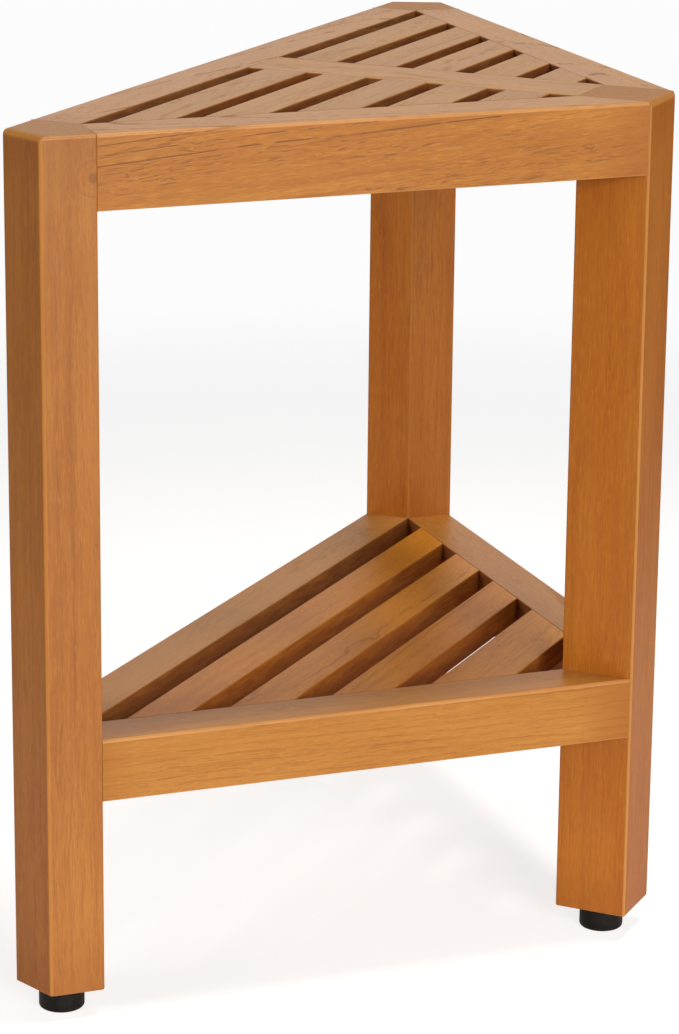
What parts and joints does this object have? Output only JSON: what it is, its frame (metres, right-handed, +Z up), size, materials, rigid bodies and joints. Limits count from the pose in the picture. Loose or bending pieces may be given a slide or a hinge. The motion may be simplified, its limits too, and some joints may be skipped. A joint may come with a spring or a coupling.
{
  "type": "corner stool",
  "caption": "Wooden corner stool with a slatted triangular seat, a slatted shelf below it, chopped corners and screw-in levelling feet.",
  "frame": {"origin": "on the floor, below the middle of the footprint's bounding rectangle, feet screwed in", "axes": "+Z up; the long open side faces -Y; the right-angled corner with the post is at +Y; +X runs along the long side"},
  "size_m": [0.4876, 0.2532, 0.457],
  "materials": {
    "teak_frame": "oiled satin teak",
    "teak_slats": "oiled satin teak",
    "beech_dowel": "plain fluted beech",
    "brass_insert": "machined",
    "zinc_stud": "zinc plated",
    "foot_plastic": "moulded black plastic"
  },
  "bodies": {
    "stool": {"leg_left": "teak_frame", "leg_right": "teak_frame", "corner_post": "teak_frame", "seat_front_rail": "teak_frame", "seat_left_rail": "teak_frame", "seat_right_rail": "teak_frame", "seat_cross_rail": "teak_slats", "seat_slat_1_left": "teak_slats", "seat_slat_2_left": "teak_slats", "seat_slat_3_left": "teak_slats", "seat_slat_4_left": "teak_slats", "seat_slat_5_left": "teak_slats", "seat_slat_1_right": "teak_slats", "seat_slat_2_right": "teak_slats", "seat_slat_3_right": "teak_slats", "seat_slat_4_right": "teak_slats", "seat_slat_5_right": "teak_slats", "shelf_front_rail": "teak_frame", "shelf_left_rail": "teak_frame", "shelf_right_rail": "teak_frame", "shelf_slat_1": "teak_slats", "shelf_slat_2": "teak_slats", "shelf_slat_3": "teak_slats", "shelf_slat_4": "teak_slats", "seat_dowels": "beech_dowel", "shelf_dowels": "beech_dowel", "foot_inserts": "brass_insert"},
    "left_foot_stud": {"foot_stud_left": "zinc_stud"},
    "left_foot_pad": {"foot_pad_left": "foot_plastic"},
    "right_foot_stud": {"foot_stud_right": "zinc_stud"},
    "right_foot_pad": {"foot_pad_right": "foot_plastic"},
    "corner_foot_stud": {"foot_stud_corner": "zinc_stud"},
    "corner_foot_pad": {"foot_pad_corner": "foot_plastic"}
  },
  "joints": [
    {"name": "left_foot_travel", "type": "slide", "parent": "stool", "child": "left_foot_stud", "axis": [0, 0, -1], "range_m": [0, 0.008]},
    {"name": "left_foot_turn", "type": "hinge", "parent": "left_foot_stud", "child": "left_foot_pad", "pos_m": [-0.22146, -0.10619, 0.007], "axis": [0, 0, -1], "range_deg": [0, 2300]},
    {"name": "right_foot_travel", "type": "slide", "parent": "stool", "child": "right_foot_stud", "axis": [0, 0, -1], "range_m": [0, 0.008]},
    {"name": "right_foot_turn", "type": "hinge", "parent": "right_foot_stud", "child": "right_foot_pad", "pos_m": [0.22146, -0.10619, 0.007], "axis": [0, 0, -1], "range_deg": [0, 2300]},
    {"name": "corner_foot_travel", "type": "slide", "parent": "stool", "child": "corner_foot_stud", "axis": [0, 0, -1], "range_m": [0, 0.008]},
    {"name": "corner_foot_turn", "type": "hinge", "parent": "corner_foot_stud", "child": "corner_foot_pad", "pos_m": [0, 0.10684, 0.007], "axis": [0, 0, -1], "range_deg": [0, 2300]}
  ],
  "couplings": [
    {"joint": "left_foot_travel", "follows": "left_foot_turn", "m_per_rad": 0.00019894},
    {"joint": "right_foot_travel", "follows": "right_foot_turn", "m_per_rad": 0.00019894},
    {"joint": "corner_foot_travel", "follows": "corner_foot_turn", "m_per_rad": 0.00019894}
  ]
}
